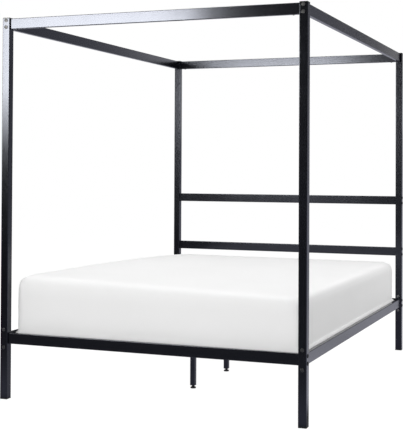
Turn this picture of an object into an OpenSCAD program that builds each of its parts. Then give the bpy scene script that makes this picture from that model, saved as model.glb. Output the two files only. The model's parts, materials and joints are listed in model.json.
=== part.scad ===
// Four poster canopy bed, 140 x 200 cm mattress.
// Square steel posts carry a ring of flat-sided rails at the top, a lower frame with
// sprung slats and a centre beam on three levelled legs, and two headboard bars.
// X runs across the bed, +Y runs from the foot to the head, +Z is up.
// The origin is on the floor under the middle of the bed. Units are millimetres.

/* [Overall] */
// Width over the posts
bed_w = 1500; // [1495:5:1560]
// Length over the posts
bed_l = 2130; // [2120:5:2200]
// Height to the top of the post caps
bed_h = 1805; // [1700:5:2100]

/* [Posts] */
// Side of the square post tube
post_s = 38; // [36:1:45]
// Wall of the post tube
post_wall = 1.5; // [1.2:0.1:2]
// Thickness of the cap on top of each post
cap_t = 4; // [3:0.5:6]
// Thickness of the plastic shoe under each post
shoe_t = 6; // [5:0.5:10]

/* [Rails] */
// Height of every rail and bar
rail_h = 50; // [48:1:52]
// Thickness of every rail and bar
rail_t = 20; // [20:1:24]
// Wall of the rail tube
rail_wall = 1.5; // [1.2:0.1:2]
// Centre height of the lower rails
rail_z = 286; // [275:1:320]
// Centre height of the lower headboard bar
bar_low_z = 596; // [580:1:620]
// Centre height of the upper headboard bar
bar_up_z = 907; // [880:1:940]
// Drop of the canopy rails below the post tops
canopy_drop = 4; // [4:1:8]

/* [Fasteners] */
// Length of the frame bolts under the head
bolt_len = 52; // [51:1:56]
// Diameter of the frame bolt heads
bolt_head_d = 17; // [15:0.5:18]
// Spacing of the two bolts at each rail end
bolt_gap = 32; // [28:1:33]
// Spacing of the two bolts at each side rail end plate
plate_gap = 84; // [82:1:90]

/* [Slats] */
// Slats on each side of the centre beam
slat_count = 13; // [10:1:14]
// Width of a slat
slat_w = 53; // [50:1:60]
// Thickness of a slat
slat_t = 8; // [6:0.5:8]
// Spacing of the slats
slat_pitch = 155; // [140:5:160]

/* [Centre support] */
// Side of the square centre leg tube
leg_s = 25; // [25:1:30]
// Gap from the floor to the centre leg tubes
leg_gap = 17; // [17:0.5:20]
// Diameter of the levelling pads
pad_d = 28; // [26:1:34]
// Spacing of the centre legs
leg_pitch = 480; // [400:5:530]

/* [Mattress] */
// Mattress width
mat_w = 1405; // [1380:5:1420]
// Mattress length
mat_l = 2010; // [1980:5:2020]
// Mattress thickness
mat_t = 249; // [200:1:260]
// Roundness of the mattress corners seen from above
mat_corner_r = 30; // [20:5:60]
// Roundness of the mattress top edge
mat_edge_r = 60; // [35:5:80]
// Roundness of the mattress bottom edge
mat_base_r = 15; // [10:1:30]

/* [Hidden] */
post_x = bed_w / 2 - post_s / 2;
post_y = bed_l / 2 - post_s / 2;
in_x = bed_w / 2 - post_s;
in_y = bed_l / 2 - post_s;
tube_top = bed_h - cap_t;
canopy_z = bed_h - canopy_drop - rail_h / 2;
rail_in_x = post_x - rail_t / 2;
rail_in_y = post_y - rail_t / 2;
bore_t = rail_t - 2 * rail_wall;
bore_h = rail_h - 2 * rail_wall;
hole_r = 4.25;
thread_r = 4.05;
shank_r = 4;
plate_t = 4;
plate_h = 110;
plate_w = 30;
insert_t = 5;
spigot_l = 60;
ledge_z = rail_z - 5;
ledge_l = 1970;
ledge_in = 28;
slat_out = in_x - 1.5;
slat_in = 6.5;
holder_w = slat_w + 9;
holder_base = 2;
pocket_w = slat_w + 0.8;
pocket_h = slat_t + 0.6;
holder_h = holder_base + pocket_h + 1.6;
peg_y = 18;
beam_w = 30;
beam_h = 20;
beam_end = rail_in_y - 3;
bracket_t = 2.5;
bracket_l = 33;
leg_plate_t = 3;
leg_top = ledge_z - beam_h - leg_plate_t;
nut_t = 5;
mat_z = ledge_z + holder_h + 0.4;
R = 48;

// Which piece to show

// ---------- shared shapes ----------

// Rectangle with round corners
module round_rect(w, h, r) {
  square([w - 2 * r, h], center = true);
  square([w, h - 2 * r], center = true);
  for (x = [-1, 1], y = [-1, 1])
    translate([x * (w / 2 - r), y * (h / 2 - r)])
      circle(r = r, $fn = R);
}

// Rectangular tube standing on z = 0
module tube(len, w, h, wall, r) {
  difference() {
    linear_extrude(len) round_rect(w, h, r);
    translate([0, 0, -1])
      linear_extrude(len + 2) round_rect(w - 2 * wall, h - 2 * wall, r - wall + 0.5);
  }
}

// Rail lying along X between x0 and x1
module rail_x(x0, x1) {
  translate([x0, 0, 0])
    rotate([90, 0, 90])
      tube(x1 - x0, rail_t, rail_h, rail_wall, 2.5);
}

// Rail lying along Y between y0 and y1
module rail_y(y0, y1) {
  translate([0, y0, 0])
    rotate([-90, 0, 0])
      tube(y1 - y0, rail_t, rail_h, rail_wall, 2.5);
}

// Cylinder along X, centred
module bar_x(r, len) {
  rotate([0, 90, 0]) cylinder(r = r, h = len, center = true, $fn = R);
}

// Cylinder along Y, centred
module bar_y(r, len) {
  rotate([90, 0, 0]) cylinder(r = r, h = len, center = true, $fn = R);
}

// Socket head bolt, head above z = 0
module bolt(len, r, head_r, head_h, key) {
  difference() {
    rotate_extrude($fn = R)
      polygon([[0, 0], [head_r, 0], [head_r, head_h - 1], [head_r - 1, head_h], [0, head_h]]);
    translate([0, 0, head_h - 1.8]) cylinder(r = key, h = 3, $fn = 6);
  }
  translate([0, 0, -len]) cylinder(r = r, h = len, $fn = R);
}

// Hex nut standing on z = 0
module nut(af, t, r) {
  difference() {
    cylinder(r = af / 2 / cos(30), h = t, $fn = 6);
    translate([0, 0, -1]) cylinder(r = r, h = t + 2, $fn = R);
  }
}

// ---------- posts ----------

// Bolt holes through a post: sx and sy give the post's place
module post(sx, sy) {
  color([0.05, 0.05, 0.055])
    translate([sx * post_x, sy * post_y, 0])
      difference() {
        translate([0, 0, shoe_t]) tube(tube_top - shoe_t, post_s, post_s, post_wall, 3);
        for (d = [-1, 1]) {
          translate([0, 0, canopy_z + d * bolt_gap / 2]) bar_y(hole_r, post_s + 4);
          translate([0, 0, rail_z + d * plate_gap / 2]) bar_y(hole_r, post_s + 4);
          translate([0, 0, rail_z + d * bolt_gap / 2]) bar_x(hole_r, post_s + 4);
          if (sy > 0) {
            translate([0, 0, bar_low_z + d * bolt_gap / 2]) bar_x(hole_r, post_s + 4);
            translate([0, 0, bar_up_z + d * bolt_gap / 2]) bar_x(hole_r, post_s + 4);
          }
        }
      }
}

module post_foot_left() { post(-1, -1); }
module post_foot_right() { post(1, -1); }
module post_head_left() { post(-1, 1); }
module post_head_right() { post(1, 1); }

// Plate with its four top edges bevelled, standing on z = 0
module bevelled_plate(s, t, b) {
  profile = [[-s / 2, 0], [s / 2, 0], [s / 2, t - b], [s / 2 - b, t], [-s / 2 + b, t], [-s / 2, t - b]];
  intersection() {
    rotate([90, 0, 0]) linear_extrude(s + 2, center = true) polygon(profile);
    rotate([90, 0, 90]) linear_extrude(s + 2, center = true) polygon(profile);
    linear_extrude(t) round_rect(s, s, 3);
  }
}

module post_top_caps() {
  color([0.06, 0.06, 0.065])
    for (sx = [-1, 1], sy = [-1, 1])
      translate([sx * post_x, sy * post_y, tube_top]) {
        bevelled_plate(post_s, cap_t, 1.5);
        for (d = [-1, 1])
          translate([d * (post_s / 2 - post_wall - 1.3), 0, -8])
            cube([2, 22, 16.02], center = true);
      }
}

module post_shoes() {
  color([0.04, 0.04, 0.045])
    for (sx = [-1, 1], sy = [-1, 1])
      translate([sx * post_x, sy * post_y, 0]) {
        translate([0, 0, shoe_t]) mirror([0, 0, 1]) bevelled_plate(post_s, shoe_t, 1);
        difference() {
          translate([0, 0, shoe_t - 0.01])
            linear_extrude(18) round_rect(post_s - 2 * post_wall - 0.2, post_s - 2 * post_wall - 0.2, 2);
          translate([0, 0, shoe_t])
            linear_extrude(20) square(post_s - 2 * post_wall - 4.5, center = true);
        }
      }
}

// ---------- canopy ring ----------

module canopy_rail_x(sy) {
  color([0.05, 0.05, 0.055])
    difference() {
      translate([0, sy * post_y, canopy_z]) rail_x(-in_x, in_x);
      for (sx = [-1, 1])
        translate([sx * (in_x - spigot_l / 2), sy * post_y, canopy_z - rail_h / 2])
          cylinder(r = 2.6, h = 4 * rail_wall, center = true, $fn = R);
    }
}

module canopy_rail_foot() { canopy_rail_x(-1); }
module canopy_rail_head() { canopy_rail_x(1); }

module canopy_rail_left() {
  color([0.05, 0.05, 0.055]) translate([-post_x, 0, canopy_z]) rail_y(-in_y, in_y);
}

module canopy_rail_right() {
  color([0.05, 0.05, 0.055]) translate([post_x, 0, canopy_z]) rail_y(-in_y, in_y);
}

// Threaded plates welded inside the ends of the long canopy rails
module canopy_end_plates() {
  color([0.3, 0.3, 0.31])
    for (sx = [-1, 1], sy = [-1, 1])
      translate([sx * post_x, sy * (in_y - insert_t / 2), canopy_z])
        difference() {
          rotate([90, 0, 0])
            linear_extrude(insert_t, center = true) round_rect(bore_t - 0.2, bore_h - 0.2, 2);
          for (d = [-1, 1])
            translate([0, 0, d * bolt_gap / 2]) bar_y(thread_r, insert_t + 2);
        }
}

// Short tubes welded to the posts that the cross canopy rails slide onto
module canopy_spigots() {
  color([0.06, 0.06, 0.065])
    for (sx = [-1, 1], sy = [-1, 1])
      translate([sx * (in_x - spigot_l / 2), sy * post_y, canopy_z])
        difference() {
          rotate([90, 0, 90])
            linear_extrude(spigot_l, center = true) round_rect(bore_t - 0.2, bore_h - 0.2, 2);
          cube([spigot_l + 2, bore_t - 4.2, bore_h - 4.2], center = true);
          translate([0, 0, -bore_h / 2]) cylinder(r = 2.6, h = 8, center = true, $fn = R);
        }
}

module spigot_screws() {
  color([0.07, 0.07, 0.075])
    for (sx = [-1, 1], sy = [-1, 1])
      translate([sx * (in_x - spigot_l / 2), sy * post_y, canopy_z - rail_h / 2])
        rotate([180, 0, 0]) bolt(9, 2.5, 4.5, 2.5, 1.7);
}

// ---------- lower frame and headboard ----------

module foot_rail() {
  color([0.05, 0.05, 0.055])
    difference() {
      translate([0, -post_y, rail_z]) rail_x(-in_x, in_x);
      for (d = [-1, 1])
        translate([d * 24, -rail_in_y, rail_z + 7]) bar_y(3.1, 8);
    }
}

module head_rail() {
  color([0.05, 0.05, 0.055])
    difference() {
      translate([0, post_y, rail_z]) rail_x(-in_x, in_x);
      for (d = [-1, 1])
        translate([d * 24, rail_in_y, rail_z + 7]) bar_y(3.1, 8);
    }
}

module headboard_bar_lower() {
  color([0.05, 0.05, 0.055]) translate([0, post_y, bar_low_z]) rail_x(-in_x, in_x);
}

module headboard_bar_upper() {
  color([0.05, 0.05, 0.055]) translate([0, post_y, bar_up_z]) rail_x(-in_x, in_x);
}

// Threaded plates welded inside the ends of the cross rails and headboard bars
module rail_end_plates() {
  color([0.3, 0.3, 0.31])
    for (sx = [-1, 1], p = [[-1, rail_z], [1, rail_z], [1, bar_low_z], [1, bar_up_z]])
      translate([sx * (in_x - insert_t / 2), p[0] * post_y, p[1]])
        difference() {
          rotate([90, 0, 90])
            linear_extrude(insert_t, center = true) round_rect(bore_t - 0.2, bore_h - 0.2, 2);
          for (d = [-1, 1])
            translate([0, 0, d * bolt_gap / 2]) bar_x(thread_r, insert_t + 2);
        }
}

module side_rail_left() {
  color([0.05, 0.05, 0.055])
    translate([-post_x, 0, rail_z]) rail_y(-in_y + plate_t, in_y - plate_t);
}

module side_rail_right() {
  color([0.05, 0.05, 0.055])
    translate([post_x, 0, rail_z]) rail_y(-in_y + plate_t, in_y - plate_t);
}

// Tall plates welded on the ends of the side rails
module side_rail_plates() {
  color([0.05, 0.05, 0.055])
    for (sx = [-1, 1], sy = [-1, 1])
      translate([sx * post_x, sy * (in_y - plate_t / 2), rail_z])
        difference() {
          rotate([90, 0, 0])
            linear_extrude(plate_t, center = true) round_rect(plate_w, plate_h, 4);
          for (d = [-1, 1])
            translate([0, 0, d * plate_gap / 2]) bar_y(hole_r, plate_t + 2);
        }
}

module weld_nuts() {
  color([0.45, 0.45, 0.46])
    for (sx = [-1, 1], sy = [-1, 1], d = [-1, 1])
      translate([sx * post_x, sy * (in_y - plate_t), rail_z + d * plate_gap / 2])
        rotate([sy * 90, 0, 0]) nut(13, 6.5, thread_r);
}

// ---------- slats and what carries them ----------

function slat_y(i) = (i - (slat_count - 1) / 2) * slat_pitch;

module slat_ledge(sx) {
  color([0.05, 0.05, 0.055])
    difference() {
      for (b = [[ledge_in / 2, 1, ledge_in, 2], [1, 10, 2, 20]])
        translate([sx * (rail_in_x - b[0]), 0, ledge_z - b[1]])
          cube([b[2], ledge_l, b[3]], center = true);
      for (i = [0 : slat_count - 1], d = [-1, 1])
        translate([sx * (in_x - 6), slat_y(i) + d * peg_y, ledge_z])
          cylinder(r = 3.2, h = 8, center = true, $fn = R);
    }
}

module slat_ledge_left() { slat_ledge(-1); }
module slat_ledge_right() { slat_ledge(1); }

// Plastic pocket that holds the outer end of a slat
module slat_holder(sx) {
  difference() {
    translate([sx * (in_x - 9), 0, holder_h / 2]) cube([30, holder_w, holder_h], center = true);
    translate([sx * (in_x - 16), 0, holder_base + pocket_h / 2]) cube([32, pocket_w, pocket_h], center = true);
  }
  for (d = [-1, 1])
    translate([sx * (in_x - 6), d * peg_y, -5]) cylinder(r = 3, h = 5.01, $fn = R);
}

module slat_holders(sx) {
  color([0.08, 0.08, 0.085])
    for (i = [0 : slat_count - 1])
      translate([0, slat_y(i), ledge_z]) slat_holder(sx);
}

module slat_holders_left() { slat_holders(-1); }
module slat_holders_right() { slat_holders(1); }

// Plastic double pocket on the centre beam
module slat_holders_centre() {
  color([0.08, 0.08, 0.085])
    for (i = [0 : slat_count - 1])
      translate([0, slat_y(i), ledge_z]) {
        difference() {
          translate([0, 0, holder_h / 2]) cube([72, holder_w, holder_h], center = true);
          for (sx = [-1, 1])
            translate([sx * 22, 0, holder_base + pocket_h / 2]) cube([33, pocket_w, pocket_h], center = true);
        }
        for (d = [-1, 1])
          translate([0, d * peg_y, -6]) cylinder(r = 3, h = 6.01, $fn = R);
      }
}

module slats(sx) {
  color([0.78, 0.62, 0.42])
    for (i = [0 : slat_count - 1])
      translate([sx * (slat_out + slat_in) / 2, slat_y(i), ledge_z + holder_base + 0.2 + slat_t / 2])
        cube([slat_out - slat_in, slat_w, slat_t], center = true);
}

module slats_left() { slats(-1); }
module slats_right() { slats(1); }

// ---------- centre beam and legs ----------

module centre_beam() {
  color([0.05, 0.05, 0.055])
    difference() {
      translate([0, -beam_end, ledge_z - beam_h / 2])
        rotate([-90, 0, 0]) tube(2 * beam_end, beam_w, beam_h, 1.5, 2.5);
      for (i = [0 : slat_count - 1], d = [-1, 1])
        translate([0, slat_y(i) + d * peg_y, ledge_z])
          cylinder(r = 3.2, h = 8, center = true, $fn = R);
      for (k = [-1, 0, 1], d = [-1, 1])
        translate([0, k * leg_pitch + d * 21, ledge_z - beam_h])
          cylinder(r = 3.1, h = 8, center = true, $fn = R);
    }
}

// Seats screwed to the foot and head rails that carry the beam's ends
module beam_brackets() {
  color([0.06, 0.06, 0.065])
    for (sy = [-1, 1])
      difference() {
        union() {
          translate([0, sy * (rail_in_y - bracket_t / 2), ledge_z - beam_h - bracket_t + 23])
            cube([66, bracket_t, 46], center = true);
          translate([0, sy * (rail_in_y - bracket_l / 2), ledge_z - beam_h - bracket_t / 2])
            cube([beam_w + 2 * bracket_t + 0.4, bracket_l, bracket_t], center = true);
          for (d = [-1, 1])
            translate([d * (beam_w / 2 + 0.2 + bracket_t / 2), sy * (rail_in_y - bracket_l / 2), ledge_z - beam_h + 7])
              cube([bracket_t, bracket_l, 19], center = true);
        }
        for (d = [-1, 1])
          translate([d * 24, sy * rail_in_y, rail_z + 7]) bar_y(3.1, 8);
      }
}

module bracket_screws() {
  color([0.5, 0.5, 0.51])
    for (sy = [-1, 1], d = [-1, 1])
      translate([d * 24, sy * (rail_in_y - bracket_t), rail_z + 7])
        rotate([sy * 90, 0, 0]) bolt(12, 3, 5.5, 3, 1.9);
}

module centre_leg(k) {
  color([0.05, 0.05, 0.055])
    translate([0, k * leg_pitch, leg_gap]) tube(leg_top - leg_gap, leg_s, leg_s, 1.5, 2.5);
}

module centre_leg_foot() { centre_leg(-1); }
module centre_leg_middle() { centre_leg(0); }
module centre_leg_head() { centre_leg(1); }

module leg_top_plates() {
  color([0.05, 0.05, 0.055])
    for (k = [-1, 0, 1])
      translate([0, k * leg_pitch, leg_top])
        difference() {
          linear_extrude(leg_plate_t) round_rect(30, 60, 3);
          for (d = [-1, 1])
            translate([0, d * 21, -1]) cylinder(r = 3.1, h = 6, $fn = R);
        }
}

module leg_bolts() {
  color([0.5, 0.5, 0.51])
    for (k = [-1, 0, 1], d = [-1, 1])
      translate([0, k * leg_pitch + d * 21, leg_top])
        rotate([180, 0, 0]) bolt(12, 3, 5, 3, 1.9);
}

// Threaded plastic plugs in the bottom of the leg tubes
module leg_end_plugs() {
  color([0.05, 0.05, 0.055])
    for (k = [-1, 0, 1])
      translate([0, k * leg_pitch, leg_gap - 2])
        difference() {
          union() {
            linear_extrude(2) round_rect(leg_s, leg_s, 2.5);
            linear_extrude(32) round_rect(leg_s - 3.2, leg_s - 3.2, 1.5);
          }
          translate([0, 0, -1]) cylinder(r = thread_r, h = 36, $fn = R);
        }
}

module lock_nuts() {
  color([0.2, 0.2, 0.21])
    for (k = [-1, 0, 1])
      translate([0, k * leg_pitch, leg_gap - 2 - nut_t]) nut(13, nut_t, thread_r);
}

// Levelling foot: pad on the floor and threaded stud in the leg plug
module level_foot(k) {
  color([0.04, 0.04, 0.045])
    translate([0, k * leg_pitch, 0])
      rotate_extrude($fn = R)
        polygon([[0, 0], [pad_d / 2 - 1, 0], [pad_d / 2, 1], [pad_d / 2, 5], [pad_d / 2 - 2, 7.2],
                 [8, 8], [shank_r, 8], [shank_r, 41], [shank_r - 1, 42], [0, 42]]);
}

module level_foot_foot() { level_foot(-1); }
module level_foot_middle() { level_foot(0); }
module level_foot_head() { level_foot(1); }

// ---------- fasteners ----------

module frame_bolt() { bolt(bolt_len, shank_r, bolt_head_d / 2, 2.8, 2.9); }

module frame_bolts() {
  color([0.1, 0.1, 0.105])
    for (sx = [-1, 1], sy = [-1, 1], d = [-1, 1]) {
      for (h = [canopy_z + d * bolt_gap / 2, rail_z + d * plate_gap / 2])
        translate([sx * post_x, sy * bed_l / 2, h]) rotate([-sy * 90, 0, 0]) frame_bolt();
      translate([sx * bed_w / 2, sy * post_y, rail_z + d * bolt_gap / 2])
        rotate([0, sx * 90, 0]) frame_bolt();
      if (sy > 0)
        for (h = [bar_low_z, bar_up_z])
          translate([sx * bed_w / 2, sy * post_y, h + d * bolt_gap / 2])
            rotate([0, sx * 90, 0]) frame_bolt();
    }
}

// ---------- mattress ----------

// Upright section with soft top corners and tighter bottom corners
module mattress_section(w) {
  for (d = [-1, 1]) {
    translate([d * (w / 2 - mat_edge_r), mat_t - mat_edge_r]) circle(r = mat_edge_r, $fn = R);
    translate([d * (w / 2 - mat_base_r), mat_base_r]) circle(r = mat_base_r, $fn = R);
  }
  translate([mat_edge_r - w / 2, 0]) square([w - 2 * mat_edge_r, mat_t]);
  translate([mat_base_r - w / 2, 0]) square([w - 2 * mat_base_r, mat_t - mat_edge_r]);
  translate([-w / 2, mat_base_r]) square([w, mat_t - mat_edge_r - mat_base_r]);
}

module mattress() {
  color([0.93, 0.93, 0.92])
    translate([0, 0, mat_z])
      intersection() {
        linear_extrude(mat_t) round_rect(mat_w, mat_l, mat_corner_r);
        rotate([90, 0, 0]) linear_extrude(mat_l + 2, center = true) mattress_section(mat_w);
        rotate([90, 0, 90]) linear_extrude(mat_w + 2, center = true) mattress_section(mat_l);
      }
}

// ---------- show ----------
post_foot_left();
post_foot_right();
post_head_left();
post_head_right();
post_top_caps();
post_shoes();
canopy_rail_foot();
canopy_rail_head();
canopy_rail_left();
canopy_rail_right();
canopy_end_plates();
canopy_spigots();
spigot_screws();
foot_rail();
head_rail();
headboard_bar_lower();
headboard_bar_upper();
rail_end_plates();
side_rail_left();
side_rail_right();
side_rail_plates();
weld_nuts();
slat_ledge_left();
slat_ledge_right();
slat_holders_left();
slat_holders_right();
slat_holders_centre();
slats_left();
slats_right();
centre_beam();
beam_brackets();
bracket_screws();
centre_leg_foot();
centre_leg_middle();
centre_leg_head();
leg_top_plates();
leg_bolts();
leg_end_plugs();
lock_nuts();
level_foot_foot();
level_foot_middle();
level_foot_head();
frame_bolts();
mattress();
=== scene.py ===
import json
import math

import bpy
from mathutils import Matrix, Vector

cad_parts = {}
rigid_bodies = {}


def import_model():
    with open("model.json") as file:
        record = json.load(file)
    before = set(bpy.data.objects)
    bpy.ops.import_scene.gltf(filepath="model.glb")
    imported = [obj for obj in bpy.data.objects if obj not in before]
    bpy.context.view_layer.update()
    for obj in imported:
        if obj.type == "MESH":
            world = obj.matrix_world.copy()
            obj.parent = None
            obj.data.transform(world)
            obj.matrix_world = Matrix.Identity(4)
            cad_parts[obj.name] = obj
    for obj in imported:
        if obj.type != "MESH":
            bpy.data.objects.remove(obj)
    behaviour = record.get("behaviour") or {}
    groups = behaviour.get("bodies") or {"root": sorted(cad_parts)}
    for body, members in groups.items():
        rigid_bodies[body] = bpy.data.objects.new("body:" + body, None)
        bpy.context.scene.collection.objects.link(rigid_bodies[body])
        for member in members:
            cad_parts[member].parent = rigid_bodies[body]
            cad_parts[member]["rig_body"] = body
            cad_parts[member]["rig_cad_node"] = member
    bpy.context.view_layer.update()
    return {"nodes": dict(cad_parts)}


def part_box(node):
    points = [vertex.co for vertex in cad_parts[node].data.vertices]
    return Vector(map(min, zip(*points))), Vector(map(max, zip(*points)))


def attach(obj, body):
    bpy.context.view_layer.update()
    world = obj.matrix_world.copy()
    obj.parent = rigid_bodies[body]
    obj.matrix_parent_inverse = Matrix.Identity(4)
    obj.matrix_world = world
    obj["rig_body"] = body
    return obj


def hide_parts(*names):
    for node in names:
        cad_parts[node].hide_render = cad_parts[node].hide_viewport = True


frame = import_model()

node = frame["nodes"]
scene = bpy.context.scene


# ---------------------------------------------------------------- camera
# A long lens at chest height, off the bed's foot right corner. It looks up by under a
# degree, and the lens is shifted down to take in the feet.

CAMERA_PLACE = (1.9675, -5.3627, 1.0862)
CAMERA_LEFT = 21.557  # degrees left of the bed's length
CAMERA_UP = 0.9  # degrees above level
CAMERA_ROLL = 0.279  # degrees

camera_data = bpy.data.cameras.new("camera")
camera_data.lens = 88.36
camera_data.sensor_width = 36
camera_data.shift_y = -0.1423
camera_data.clip_start = 0.1
camera_data.clip_end = 200
camera = bpy.data.objects.new("camera", camera_data)
scene.collection.objects.link(camera)
left = Matrix.Rotation(math.radians(CAMERA_LEFT), 4, "Z")
up = Matrix.Rotation(math.radians(90 + CAMERA_UP), 4, "X")
roll = Matrix.Rotation(math.radians(CAMERA_ROLL), 4, "Z")
camera.matrix_world = Matrix.Translation(CAMERA_PLACE) @ left @ up @ roll
scene.camera = camera


# ---------------------------------------------------------------- posts
# Four square steel tubes, 38 mm, 1.5 mm wall, with rounded corners. They are cut to
# length, drilled and sprayed with a satin black powder coat, which bakes to a faint
# orange peel.


def add(tree, kind, **settings):
    """Adds a shader node. Each setting is one of its inputs, or else a property."""
    made = tree.nodes.new("ShaderNode" + kind)
    for name, value in settings.items():
        if name in made.inputs:
            made.inputs[name].default_value = value
        else:
            setattr(made, name, value)
    return made


def start_finish(name, colour, roughness, **sockets):
    """A material with one principled shader, and the piece's own coordinates."""
    material = bpy.data.materials.new(name)
    material.use_nodes = True
    tree = material.node_tree
    shader = tree.nodes["Principled BSDF"]
    shader.inputs["Base Color"].default_value = (*colour, 1)
    shader.inputs["Roughness"].default_value = roughness
    for socket, value in sockets.items():
        shader.inputs[socket.replace("_", " ")].default_value = value
    place = add(tree, "TexCoord").outputs["Object"]
    return material, tree, shader, place


def speckle(tree, place, size, detail=2.0):
    """Fine noise whose grains are about size metres across."""
    noise = add(tree, "TexNoise", Scale=1 / size, Detail=detail)
    tree.links.new(place, noise.inputs["Vector"])
    return noise.outputs["Fac"]


def spread(tree, value, low, high, start=0.3, end=0.7):
    """Maps start..end, which by default is noise's usual range, to low..high."""
    ends = {"From Min": start, "From Max": end, "To Min": low, "To Max": high}
    mapped = add(tree, "MapRange", **ends)
    tree.links.new(value, mapped.inputs["Value"])
    return mapped.outputs["Result"]


def blend_colours(tree, value, first, second):
    """A colour that runs from first to second as value goes from 0 to 1."""
    mix = add(tree, "Mix", data_type="RGBA")
    mix.inputs[6].default_value = (*first, 1)
    mix.inputs[7].default_value = (*second, 1)
    tree.links.new(value, mix.inputs[0])
    return mix.outputs[2]


def tone(tree, shader, value, first, second):
    """Lets the colour drift from first to second."""
    tree.links.new(blend_colours(tree, value, first, second), shader.inputs["Base Color"])


def sheen(tree, shader, value, smooth, rough):
    """Lets the roughness drift from smooth to rough."""
    tree.links.new(spread(tree, value, smooth, rough), shader.inputs["Roughness"])


def bump(tree, shader, height, depth, strength=1.0):
    """Raises the surface by depth metres times height."""
    raised = add(tree, "Bump", Strength=strength, Distance=depth)
    tree.links.new(height, raised.inputs["Height"])
    tree.links.new(raised.outputs["Normal"], shader.inputs["Normal"])


def dress(material, *names):
    """Gives CAD nodes a finish."""
    for name in names:
        node[name].data.materials.clear()
        node[name].data.materials.append(material)


frame_black, tree, shader, place = start_finish(
    "frame_black", (0.0025, 0.0026, 0.0036), 0.2, Specular_Tint=(0.74, 0.78, 1, 1)
)
patches = speckle(tree, place, 0.09, 3)
sheen(tree, shader, patches, 0.19, 0.215)
tone(tree, shader, spread(tree, patches, 0, 1), (0.0023, 0.0024, 0.0034), (0.0028, 0.0029, 0.004))
bump(tree, shader, speckle(tree, place, 0.0022), 0.0000014)
dress(frame_black, "post_foot_left", "post_foot_right", "post_head_left", "post_head_right")


# ---------------------------------------------------------------- post caps and shoes
# Injection moulded black polypropylene: a thin bevelled cap pressed in each post's top,
# and a thicker shoe in its foot. Moulded plastic is duller than the powder coat.


def moulded_black(name, colour, roughness, patch, smooth, rough, grain, depth):
    """A black moulded plastic, with the fine grain of its mould."""
    material, tree, shader, place = start_finish(name, colour, roughness)
    sheen(tree, shader, speckle(tree, place, patch), smooth, rough)
    bump(tree, shader, speckle(tree, place, grain, 4), depth)
    return material


plastic_black = moulded_black(
    "plastic_black", (0.011, 0.0115, 0.012), 0.42,
    patch=0.012, smooth=0.36, rough=0.5, grain=0.0008, depth=0.00004,
)
dress(plastic_black, "post_top_caps", "post_shoes")


# ---------------------------------------------------------------- canopy ring
# Four rectangular tubes, 50 by 20 mm, in the same powder coat. The long ones are bolted
# through the posts into plates inside their ends, and the cross ones slide onto spigots.

dress(
    frame_black, "canopy_rail_foot", "canopy_rail_head", "canopy_rail_left",
    "canopy_rail_right", "canopy_spigots",
)

zinc_steel, tree, shader, place = start_finish(
    "zinc_steel", (0.42, 0.43, 0.44), 0.38, Metallic=1.0
)
grain = speckle(tree, place, 0.004, 4)
sheen(tree, shader, grain, 0.3, 0.5)
tone(tree, shader, grain, (0.36, 0.37, 0.39), (0.5, 0.5, 0.49))
bump(tree, shader, grain, 0.00003)
dress(
    zinc_steel, "canopy_end_plates", "rail_end_plates", "weld_nuts", "bracket_screws",
    "leg_bolts",
)


# ---------------------------------------------------------------- frame bolts
# Low socket head bolts, M8, black oxide over steel. Two hold each rail to its post,
# and a hex key drives them.

bolt_black, tree, shader, place = start_finish(
    "bolt_black", (0.05, 0.05, 0.055), 0.5, Metallic=0.85
)
sheen(tree, shader, speckle(tree, place, 0.0015, 4), 0.42, 0.58)
bump(tree, shader, speckle(tree, place, 0.0006), 0.00002)

HEAD_R = 0.0085
HEAD_H = 0.0028
HEAD_EDGE = 0.0011
SHANK_R = 0.004
SHANK_LENGTH = 0.028
SHANK_TIP = 0.9  # its end's width over its root's
KEY_R = 0.0032
KEY_DEPTH = 0.0018
KEY_TOOL = 0.004  # height of the hexagon that cuts the socket
FLUSH = 0.0001  # how near to a plane counts as on it
BOLT_GAP = 0.032
PLATE_GAP = 0.084


def take(obj):
    """Makes obj the only selected object, and the active one."""
    bpy.ops.object.select_all(action="DESELECT")
    obj.select_set(True)
    bpy.context.view_layer.objects.active = obj


def only(obj, choose, kind="faces"):
    """Selects the faces or edges of obj that choose says, and opens edit mode."""
    take(obj)
    mesh = obj.data
    for group in (mesh.vertices, mesh.edges, mesh.polygons):
        group.foreach_set("select", [False] * len(group))
    for part in mesh.edges if kind == "edges" else mesh.polygons:
        part.select = bool(choose(part))
    scene.tool_settings.mesh_select_mode = (False, kind == "edges", kind == "faces")
    bpy.ops.object.mode_set(mode="EDIT")


def done():
    """Leaves edit mode."""
    bpy.ops.object.mode_set(mode="OBJECT")


def settle(obj):
    """Puts the object's place, turn and scale into its mesh."""
    take(obj)
    bpy.ops.object.transform_apply(location=True, rotation=True, scale=True)
    return obj


def apply_modifiers(obj):
    """Makes the object's modifiers part of its mesh."""
    bpy.context.view_layer.objects.active = obj
    for modifier in list(obj.modifiers):
        bpy.ops.object.modifier_apply(modifier=modifier.name)


def join_as(name, parts):
    """One object from several, with its origin at the frame's."""
    bpy.ops.object.select_all(action="DESELECT")
    for part in parts:
        part.select_set(True)
    bpy.context.view_layer.objects.active = parts[0]
    bpy.ops.object.join()
    parts[0].name = name
    parts[0].data.name = name
    return settle(parts[0])


def copies_of(master, places):
    """Copies of a finished mesh, each with its own mesh, at a list of matrices."""
    made = []
    for matrix in places:
        copy = master.copy()
        copy.data = master.data.copy()
        scene.collection.objects.link(copy)
        copy.data.transform(matrix)
        made.append(copy)
    bpy.data.objects.remove(master)
    return made


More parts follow.
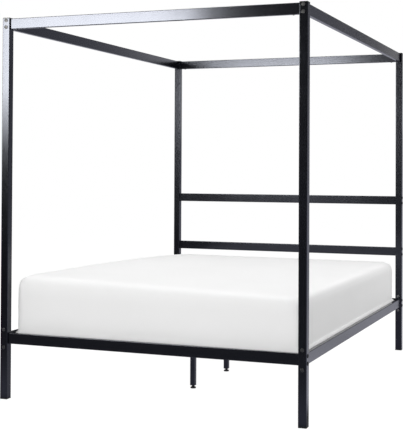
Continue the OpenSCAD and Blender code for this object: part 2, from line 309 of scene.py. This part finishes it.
bpy.ops.object.select_all(action="DESELECT")
bpy.ops.mesh.primitive_cylinder_add(
    vertices=30, radius=HEAD_R, depth=HEAD_H, location=(0, 0, HEAD_H / 2)
)
bolt = settle(bpy.context.object)
only(bolt, lambda face: face.normal.z < -0.9)
bpy.ops.mesh.inset(thickness=HEAD_R - SHANK_R)
bpy.ops.mesh.extrude_region_move(TRANSFORM_OT_translate={"value": (0, 0, -SHANK_LENGTH)})
bpy.ops.transform.resize(value=(SHANK_TIP, SHANK_TIP, 1))
done()


def on_rim(edge):
    """Whether an edge of the bolt lies on the outer rim of its head."""
    return all(bolt.data.vertices[end].co.z > HEAD_H - FLUSH for end in edge.vertices)


only(bolt, on_rim, "edges")
bpy.ops.mesh.bevel(offset=HEAD_EDGE, segments=3, affect="EDGES")
done()
bpy.ops.object.select_all(action="DESELECT")
bpy.ops.mesh.primitive_cylinder_add(
    vertices=6, radius=KEY_R, depth=KEY_TOOL, location=(0, 0, HEAD_H + KEY_TOOL / 2 - KEY_DEPTH)
)
key_tool = bpy.context.object
socket = bolt.modifiers.new("key", "BOOLEAN")
socket.operation = "DIFFERENCE"
socket.solver = "EXACT"
socket.object = key_tool
apply_modifiers(bolt)
bpy.data.objects.remove(key_tool)
take(bolt)
bpy.ops.object.shade_smooth_by_angle(angle=math.radians(30))

foot_post_low, foot_post_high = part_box("post_foot_right")
head_post_low, head_post_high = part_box("post_head_right")
post_x = (foot_post_low.x + foot_post_high.x) / 2
post_y = (head_post_low.y + head_post_high.y) / 2
half_post = (foot_post_high.x - foot_post_low.x) / 2


def bolt_heights(gap, *names):
    """The heights of the two bolts, gap apart, at the end of each rail named."""
    heights = []
    for name in names:
        low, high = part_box(name)
        heights += [(low.z + high.z) / 2 + side * gap / 2 for side in (-1, 1)]
    return heights


def bolt_matrices(face, outward, heights, first, step):
    """Bolts on a post's face. Each one was tightened to its own angle."""
    return [
        Matrix.Translation(face + Vector((0, 0, z))) @ outward
        @ Matrix.Rotation(math.radians(first + step * k), 4, "Z")
        for k, z in enumerate(heights)
    ]


bolt_places = []
for sx in (-1, 1):
    for sy in (-1, 1):
        bolt_places += bolt_matrices(
            Vector((sx * post_x, sy * (post_y + half_post), 0)),
            Matrix.Rotation(math.radians(-90 * sy), 4, "X"),
            bolt_heights(BOLT_GAP, "canopy_rail_left") + bolt_heights(PLATE_GAP, "side_rail_left"),
            17 + 13 * sx, 41,
        )
        cross = ["foot_rail"]
        if sy > 0:
            cross += ["headboard_bar_lower", "headboard_bar_upper"]
        bolt_places += bolt_matrices(
            Vector((sx * (post_x + half_post), sy * post_y, 0)),
            Matrix.Rotation(math.radians(90 * sx), 4, "Y"),
            bolt_heights(BOLT_GAP, *cross),
            5 + 19 * sy, 29,
        )
bolts = join_as("post_bolts", copies_of(bolt, bolt_places))
bolts.data.materials.append(bolt_black)
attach(bolts, "frame")
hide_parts("frame_bolts")
dress(bolt_black, "spigot_screws", "lock_nuts")


# ---------------------------------------------------------------- lower frame and headboard
# A foot rail, a head rail, two side rails and two headboard bars, all 50 by 20 mm tube
# in the powder coat. Tall plates with nuts are welded on the side rails' ends.

dress(
    frame_black, "foot_rail", "head_rail", "headboard_bar_lower", "headboard_bar_upper",
    "side_rail_left", "side_rail_right", "side_rail_plates", "slat_ledge_left",
    "slat_ledge_right",
)


# ---------------------------------------------------------------- side rail welds
# The weld that runs round each end of the side rails, ground smooth and sprayed over
# with the rest of the frame.

WELD_PROUD = 0.0018
WELD_LENGTH = 0.003
WELD_IN = 0.0014  # how far its middle is from the rail's end
WELD_CORNER = 0.004
WELD_EDGE = 0.0014

rail_low, rail_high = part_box("side_rail_right")
bpy.ops.object.select_all(action="DESELECT")
bpy.ops.mesh.primitive_cube_add(
    size=1,
    scale=(
        rail_high.x - rail_low.x + 2 * WELD_PROUD,
        WELD_LENGTH,
        rail_high.z - rail_low.z + 2 * WELD_PROUD,
    ),
)
weld = settle(bpy.context.object)


def runs_along(edge):
    """Whether an edge of the weld runs the way of the bed's length."""
    first, second = (weld.data.vertices[end].co.y for end in edge.vertices)
    return abs(first - second) > WELD_LENGTH / 3


only(weld, runs_along, "edges")
bpy.ops.mesh.bevel(offset=WELD_CORNER, segments=5, affect="EDGES")
done()
only(weld, lambda face: abs(face.normal.y) > 0.9)
bpy.ops.mesh.region_to_loop()
bpy.ops.mesh.bevel(offset=WELD_EDGE, segments=3, affect="EDGES")
done()
rail_x = (rail_low.x + rail_high.x) / 2
rail_z = (rail_low.z + rail_high.z) / 2
rail_ends = [
    Matrix.Translation((sx * rail_x, sy * (rail_high.y - WELD_IN), rail_z))
    for sx in (-1, 1)
    for sy in (-1, 1)
]
beads = join_as("side_rail_welds", copies_of(weld, rail_ends))
bpy.ops.object.shade_smooth_by_angle(angle=math.radians(40))
beads.data.materials.append(frame_black)
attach(beads, "frame")


# ---------------------------------------------------------------- slats
# Thirteen pairs of flat plywood slats, 53 by 8 mm, lacquered, with eased edges. Their ends
# sit in moulded holders on the ledges and on the centre beam.

slat_wood, tree, shader, place = start_finish("slat_wood", (0.6, 0.43, 0.26), 0.55)
along = add(tree, "Mapping", Scale=(1.2, 28, 28))
tree.links.new(place, along.inputs["Vector"])
grain = add(tree, "TexNoise", Scale=2.4, Detail=6, Roughness=0.62, Distortion=0.4)
tree.links.new(along.outputs["Vector"], grain.inputs["Vector"])
figure = spread(tree, grain.outputs["Fac"], 0, 1, 0.35, 0.68)
tone(tree, shader, figure, (0.68, 0.5, 0.31), (0.46, 0.3, 0.16))
sheen(tree, shader, grain.outputs["Fac"], 0.5, 0.66)
bump(tree, shader, grain.outputs["Fac"], 0.0004)

SLATS = 13
SLAT_WIDTH = 0.053
SLAT_EDGE = 0.0018


def slat_row(name, stood_for):
    """One side's slats, laid evenly over the CAD row's length."""
    low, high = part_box(stood_for)
    bpy.ops.object.select_all(action="DESELECT")
    bpy.ops.mesh.primitive_cube_add(
        size=1,
        location=((low.x + high.x) / 2, 0, (low.z + high.z) / 2),
        scale=(high.x - low.x, SLAT_WIDTH, high.z - low.z),
    )
    slat = settle(bpy.context.object)
    only(slat, lambda edge: True, "edges")
    bpy.ops.mesh.bevel(offset=SLAT_EDGE, segments=3, affect="EDGES")
    done()
    step = (high.y - low.y - SLAT_WIDTH) / (SLATS - 1)
    places = [Matrix.Translation((0, step * (k - SLATS // 2), 0)) for k in range(SLATS)]
    row = join_as(name, copies_of(slat, places))
    bpy.ops.object.shade_smooth_by_angle(angle=math.radians(35))
    row.data.materials.append(slat_wood)
    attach(row, "frame")
    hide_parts(stood_for)


slat_row("slat_row_left", "slats_left")
slat_row("slat_row_right", "slats_right")

holder_black = moulded_black(
    "holder_black", (0.014, 0.0145, 0.015), 0.5,
    patch=0.01, smooth=0.44, rough=0.6, grain=0.0009, depth=0.00004,
)
dress(
    holder_black, "slat_holders_left", "slat_holders_right", "slat_holders_centre",
    "leg_end_plugs",
)


# ---------------------------------------------------------------- centre beam and legs
# A steel tube under the slats' inner ends, on three square legs. Each leg has a plate
# bolted to the beam, a plug with a lock nut below it, and a round levelling pad.

dress(
    frame_black, "centre_beam", "beam_brackets", "centre_leg_foot", "centre_leg_middle",
    "centre_leg_head", "leg_top_plates",
)

pad_plastic = moulded_black(
    "pad_plastic", (0.012, 0.012, 0.013), 0.4,
    patch=0.006, smooth=0.34, rough=0.5, grain=0.0007, depth=0.00003,
)
dress(pad_plastic, "level_foot_foot", "level_foot_middle", "level_foot_head")


# ---------------------------------------------------------------- mattress
# A foam mattress in a tight white knitted cover. Its top edges are soft and full, and
# its base lies flat on the slats.


def combine(tree, operation, first, second):
    """One value worked out from two."""
    made = add(tree, "Math", operation=operation)
    tree.links.new(first, made.inputs[0])
    tree.links.new(second, made.inputs[1])
    return made.outputs["Value"]


mattress_fabric, tree, shader, place = start_finish(
    "mattress_fabric", (0.84, 0.84, 0.84), 0.92, Specular_IOR_Level=0.2
)
ribs = []
for axis in ("X", "Y", "Z"):
    rib = add(
        tree, "TexWave", wave_type="BANDS", bands_direction=axis, Scale=95,
        Distortion=1.2, Detail=1,
    )
    tree.links.new(place, rib.inputs["Vector"])
    ribs.append(rib.outputs["Fac"])
knit = combine(tree, "ADD", combine(tree, "ADD", ribs[0], ribs[1]), ribs[2])
bump(tree, shader, knit, 0.00015, 0.6)
shade = spread(tree, speckle(tree, place, 0.35, 2), 0, 1)
tone(tree, shader, shade, (0.835, 0.835, 0.835), (0.85, 0.85, 0.85))

BASE_CUT = 0.016  # height of the block's rounded base, which is cut square
SLACK = (0.995, 0.9965, 0.98)  # the size before it swells
VOXEL = 0.018
PRESSURE = 4
STEPS = 20
MOST = 0.005  # how far a point may swell

low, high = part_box("mattress")
centre = (low + high) / 2
mattress = node["mattress"].copy()
mattress.data = node["mattress"].data.copy()
scene.collection.objects.link(mattress)
mattress.parent = None
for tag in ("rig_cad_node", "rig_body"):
    if tag in mattress:
        del mattress[tag]
mattress.name = "soft_mattress"
mattress.data.name = "soft_mattress"
mattress.data.materials.clear()
only(mattress, lambda face: True)
bpy.ops.mesh.remove_doubles(threshold=0.0001)
bpy.ops.mesh.bisect(plane_co=(0, 0, low.z + BASE_CUT), plane_no=(0, 0, 1), clear_inner=True)
bpy.ops.mesh.extrude_edges_move(TRANSFORM_OT_translate={"value": (0, 0, -BASE_CUT)})
bpy.ops.mesh.edge_face_add()
bpy.ops.mesh.select_all(action="SELECT")
bpy.ops.mesh.normals_make_consistent(inside=False)
bpy.ops.transform.resize(value=SLACK, center_override=(centre.x, centre.y, low.z))
done()
mattress.data.remesh_voxel_size = VOXEL
mattress.data.remesh_voxel_adaptivity = 0
bpy.ops.object.voxel_remesh()
before = [v.co.copy() for v in mattress.data.vertices]
cloth = mattress.modifiers.new("swell", "CLOTH")
cloth.settings.quality = 5
cloth.settings.mass = 0.3
cloth.settings.tension_stiffness = 20
cloth.settings.compression_stiffness = 20
cloth.settings.bending_stiffness = 2
cloth.settings.use_pressure = True
cloth.settings.uniform_pressure_force = PRESSURE
cloth.settings.effector_weights.gravity = 0
cloth.point_cache.frame_start = 1
cloth.point_cache.frame_end = STEPS
for number in range(1, STEPS + 1):
    scene.frame_set(number)
bpy.ops.object.modifier_apply(modifier="swell")
scene.frame_set(1)
for v, start in zip(mattress.data.vertices, before):
    move = v.co - start
    if move.length > MOST:
        move *= MOST / move.length
    v.co = start + move
finer = mattress.modifiers.new("finer", "SUBSURF")
finer.levels = 1
finer.render_levels = 1
apply_modifiers(mattress)

# The swollen shape is stretched back onto the CAD block, and then shaped.

CORNER = 0.03  # radius of the base's upright corners
CORNER_LOOSE = 0.02  # a point of the base this far inside them is left where it is
BAND_LOW = 0.003  # the base's upright sides, above its underside
BAND_HIGH = 0.024
ROUND = 0.06  # reach of the top edge's rounding
RIGHT_SQUARE = 0.95  # 0 is a round edge and 1 a square one
RIGHT_SOFTER = 0.7  # less square by this much at the head
FOOT_SQUARE = 0.75
FOOT_SOFTER = 0.65  # less square by this much at the left
SPREAD = 0.0145  # how far the base swells sideways between the rails
SPREAD_FULL = 0.012  # up to this height, and not at all from the next one
SPREAD_NONE = 0.021
FULLER_RIGHT = 0.001  # the top's extra height at the foot
FULLER_LEFT = 0.042
FULLER_POWER = 2.5
SHOULDER = 0.11  # depth of filling that rises with the top

swollen = [v.co.copy() for v in mattress.data.vertices]
swollen_low = [min(point[k] for point in swollen) for k in range(3)]
swollen_high = [max(point[k] for point in swollen) for k in range(3)]
half = Vector((high.x - CORNER - centre.x, high.y - CORNER - centre.y))
shelf = high.z - ROUND


def clamp(value, least, most):
    return max(least, min(most, value))


def eased(part):
    """Runs from 0 to 1 with level ends."""
    part = clamp(part, 0, 1)
    return part * part * (3 - 2 * part)


def squarer(across, rise, amount):
    """Moves a point of the round top edge out towards the square corner."""
    if across <= 0 or rise <= 0 or amount <= 0:
        return across, rise
    grow = math.hypot(across, rise) / (across ** 4 + rise ** 4) ** 0.25
    grow = 1 + amount * (grow - 1)
    return across * grow, rise * grow


for v, point in zip(mattress.data.vertices, swollen):
    for k in range(3):
        share = (point[k] - swollen_low[k]) / (swollen_high[k] - swollen_low[k])
        point[k] = low[k] + share * (high[k] - low[k])
    above = point.z - low.z
    if BAND_LOW < above < BAND_HIGH:
        flat = Vector((point.x - centre.x, point.y - centre.y))
        inner = Vector((clamp(flat.x, -half.x, half.x), clamp(flat.y, -half.y, half.y)))
        out = flat - inner
        if out.length > CORNER - CORNER_LOOSE:
            out *= CORNER / out.length
            point.x = centre.x + inner.x + out.x
            point.y = centre.y + inner.y + out.y
    # The right and foot edges are crisper than the rest.
    leftward = (high.x - point.x) / (high.x - low.x)
    headward = clamp((point.y - low.y) / (high.y - low.y), 0, 1)
    amount = RIGHT_SQUARE - RIGHT_SOFTER * headward
    across, rise = squarer(point.x - high.x + ROUND, point.z - shelf, amount)
    point.x, point.z = high.x - ROUND + across, shelf + rise
    amount = FOOT_SQUARE - FOOT_SOFTER * leftward
    across, rise = squarer(low.y + ROUND - point.y, point.z - shelf, amount)
    point.y, point.z = low.y + ROUND - across, min(high.z, shelf + rise)
    # The base spreads sideways to the rails.
    beyond = (abs(point.x - centre.x) - half.x) / CORNER
    if beyond > 0:
        share = eased((SPREAD_NONE - above) / (SPREAD_NONE - SPREAD_FULL))
        point.x += math.copysign(SPREAD, point.x) * beyond * share
    # The filling is fuller to the foot and the left.
    fuller = (FULLER_RIGHT + FULLER_LEFT * leftward) * (1 - headward ** FULLER_POWER)
    point.z += fuller * eased((point.z - high.z + SHOULDER) / SHOULDER)
    v.co = point
take(mattress)
bpy.ops.object.shade_smooth()
mattress.data.materials.append(mattress_fabric)
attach(mattress, "mattress_body")
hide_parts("mattress")


# ---------------------------------------------------------------- floor
# A plain white studio floor, which is seen almost evenly lit, with only a trace of the
# shadows. What the bed reflects of it is darker, with painted shade further out, and
# patches of painted glow that paint reflections on the gloss.

FLOOR_SIZE = 60
FLOOR_SEEN = 0.975  # glow of the floor as seen
COOL = (0.9, 0.91, 1.06)  # tint of what the gloss reflects

bpy.ops.object.select_all(action="DESELECT")
bpy.ops.mesh.primitive_plane_add(size=FLOOR_SIZE, location=(0, 0, 0))
floor = bpy.context.object
floor.name = "floor"
floor_white = bpy.data.materials.new("floor_white")
floor_white.use_nodes = True
tree = floor_white.node_tree
tree.nodes.remove(tree.nodes["Principled BSDF"])
place = add(tree, "TexCoord").outputs["Object"]
rays = add(tree, "LightPath")
ways = add(tree, "SeparateXYZ")
tree.links.new(place, ways.inputs[0])
rightward, rearward = ways.outputs["X"], ways.outputs["Y"]

# Painted shade: the floor that the bed reflects is painted darker from 2.2 to 6.5 m out from the
# middle.
distance = add(tree, "VectorMath", operation="LENGTH")
tree.links.new(place, distance.inputs[0])
far = spread(tree, distance.outputs["Value"], 0, 1, 2.2, 6.5)
matt = add(tree, "BsdfDiffuse")
shade = blend_colours(tree, far, (0.2, 0.2, 0.2), (0.07, 0.07, 0.07))
tree.links.new(shade, matt.inputs["Color"])

# Painted glow: patches of floor behind, under, in front of and beside the bed glow for every ray
# but the camera's, to paint reflections on the frame; the one beside glows only in reflections.
glow_behind = spread(tree, rearward, 0, 0.55, 0, 1.6)
from_middle = add(tree, "Math", operation="ABSOLUTE")
tree.links.new(rightward, from_middle.inputs[0])
glow_under_bed = combine(
    tree, "MULTIPLY",
    spread(tree, from_middle.outputs["Value"], 0.48, 0, 0.68, 0.8),
    spread(tree, rearward, 0, 1, -1.2, -0.95),
)
glow_in_front = combine(
    tree, "MULTIPLY",
    spread(tree, rearward, 0, 0.45, -2.2, -1.3),
    spread(tree, rearward, 1, 0, -1.15, -1.05),
)
glow_beside = combine(
    tree, "MULTIPLY",
    spread(tree, rightward, 0, 1, 0.82, 0.9),
    spread(tree, rearward, 1, 0.44, -0.9, 1.5),
)
glow_beside = combine(tree, "MULTIPLY", glow_beside, rays.outputs["Is Glossy Ray"])
strength = glow_behind
for patch in (glow_under_bed, glow_in_front, glow_beside):
    strength = combine(tree, "MAXIMUM", strength, patch)
# The painted glow, cooler where it is reflected.
patches = add(tree, "Emission")
tint = blend_colours(tree, rays.outputs["Is Glossy Ray"], (1, 1, 1), COOL)
tree.links.new(tint, patches.inputs["Color"])
tree.links.new(strength, patches.inputs["Strength"])
reflected = add(tree, "AddShader")
tree.links.new(matt.outputs[0], reflected.inputs[0])
tree.links.new(patches.outputs[0], reflected.inputs[1])

glow = add(tree, "Emission", Color=(1, 1, 1, 1), Strength=FLOOR_SEEN)
trace = add(tree, "BsdfDiffuse", Color=(0.12, 0.12, 0.12, 1))
seen = add(tree, "AddShader")
tree.links.new(glow.outputs[0], seen.inputs[0])
tree.links.new(trace.outputs[0], seen.inputs[1])

pick = add(tree, "MixShader")
tree.links.new(rays.outputs["Is Camera Ray"], pick.inputs[0])
tree.links.new(reflected.outputs[0], pick.inputs[1])
tree.links.new(seen.outputs[0], pick.inputs[2])
tree.links.new(pick.outputs[0], tree.nodes["Material Output"].inputs["Surface"])
floor.data.materials.append(floor_white)


# ---------------------------------------------------------------- studio lights
# Two overlapping soft boxes in front and to the left put the bright gradient on the gloss,
# and two cards pick out the rails and bars. Three broad boxes light the white mattress.

WARM = (1, 0.985, 0.86)


def soft_box(name, place, aim, wide, tall, radiance, tint=(1, 1, 1), lights=("diffuse", "glossy")):
    """A soft light of wide by tall metres at place, facing aim."""
    data = bpy.data.lights.new(name, "AREA")
    data.shape = "RECTANGLE"
    data.size = wide
    data.size_y = tall
    data.energy = radiance * wide * tall * math.pi
    data.color = tint
    box = bpy.data.objects.new(name, data)
    scene.collection.objects.link(box)
    box.location = place
    box.rotation_euler = (Vector(aim) - Vector(place)).to_track_quat("-Z", "Y").to_euler()
    box.visible_camera = False
    box.visible_diffuse = "diffuse" in lights
    box.visible_glossy = "glossy" in lights


soft_box(
    "key_high", place=(-1.295, -3, 1.87), aim=(-1.095, 0, 1.59),
    wide=1.49, tall=0.74, radiance=19.4, tint=WARM, lights=("glossy",),
)
soft_box(
    "key_wide", place=(-1.315, -3.02, 1.77), aim=(-1.115, -0.02, 1.49),
    wide=1.53, tall=0.94, radiance=12.7, tint=WARM, lights=("glossy",),
)
soft_box(
    "rear_card", place=(0.94, 5.6, 2.3), aim=(-0.66, 0.9, 1.77),
    wide=1.3, tall=1.6, radiance=0.85, lights=("glossy",),
)
soft_box(
    "bar_card", place=(-1.95, -6, 0.72), aim=(-0.3, 1, 0.9),
    wide=1.8, tall=0.5, radiance=0.9, lights=("glossy",),
)
soft_box("overhead", place=(0, 0, 3.6), aim=(0, 0, 0), wide=4.5, tall=5, radiance=1.82)
soft_box(
    "front_fill", place=(0.3, -7, 1.5), aim=(0, 0, 0.4),
    wide=6, tall=4, radiance=4.78, lights=("diffuse",),
)
soft_box(
    "right_fill", place=(6, 0.5, 1.5), aim=(0, 0, 0.4),
    wide=5, tall=3, radiance=2.97, lights=("diffuse",),
)


# ---------------------------------------------------------------- studio room
# The background is plain white. What the bed reflects of the room is dim, brighter
# towards the back, with a dark curtain high at the back.

ROOM_FRONT = 0.047
ROOM_BACK = 0.43
CURTAIN = (0.12, 0.12, 0.12)


def tinted(tree, colour, tint):
    """A colour through a coloured filter: the mix node, with its strength still to be set."""
    mix = add(tree, "Mix", data_type="RGBA", blend_type="MULTIPLY")
    tree.links.new(colour, mix.inputs[6])
    tree.links.new(tint, mix.inputs[7])
    return mix


world = bpy.data.worlds.new("studio")
scene.world = world
world.use_nodes = True
tree = world.node_tree
tree.nodes.clear()
rays = add(tree, "LightPath")
ways = add(tree, "SeparateXYZ")
tree.links.new(add(tree, "TexCoord").outputs["Generated"], ways.inputs[0])
walls = add(tree, "ValToRGB")
front, back = walls.color_ramp.elements
front.position, front.color = 0.3, (ROOM_FRONT, ROOM_FRONT, ROOM_FRONT, 1)
back.position, back.color = 0.85, (ROOM_BACK, ROOM_BACK, ROOM_BACK, 1)
tree.links.new(spread(tree, ways.outputs["Y"], 0, 1, -1, 1), walls.inputs["Fac"])
cool = tinted(
    tree, walls.outputs["Color"],
    blend_colours(tree, rays.outputs["Is Glossy Ray"], (1, 1, 1), COOL),
)
cool.inputs[0].default_value = 1
curtain = combine(
    tree, "MULTIPLY",
    spread(tree, ways.outputs["X"], 1, 0, 0.215, 0.3),
    spread(tree, ways.outputs["Z"], 0, 1, 0.06, 0.085),
)
hung = tinted(tree, cool.outputs[2], blend_colours(tree, curtain, (1, 1, 1), CURTAIN))
tree.links.new(rays.outputs["Is Glossy Ray"], hung.inputs[0])
room = add(tree, "Background", Strength=1.0)
tree.links.new(hung.outputs[2], room.inputs["Color"])
white = add(tree, "Background", Color=(1, 1, 1, 1), Strength=1.0)
pick = add(tree, "MixShader")
tree.links.new(rays.outputs["Is Camera Ray"], pick.inputs[0])
tree.links.new(room.outputs[0], pick.inputs[1])
tree.links.new(white.outputs[0], pick.inputs[2])
tree.links.new(pick.outputs[0], add(tree, "OutputWorld").inputs["Surface"])
scene.view_settings.view_transform = "Standard"
scene.view_settings.look = "None"
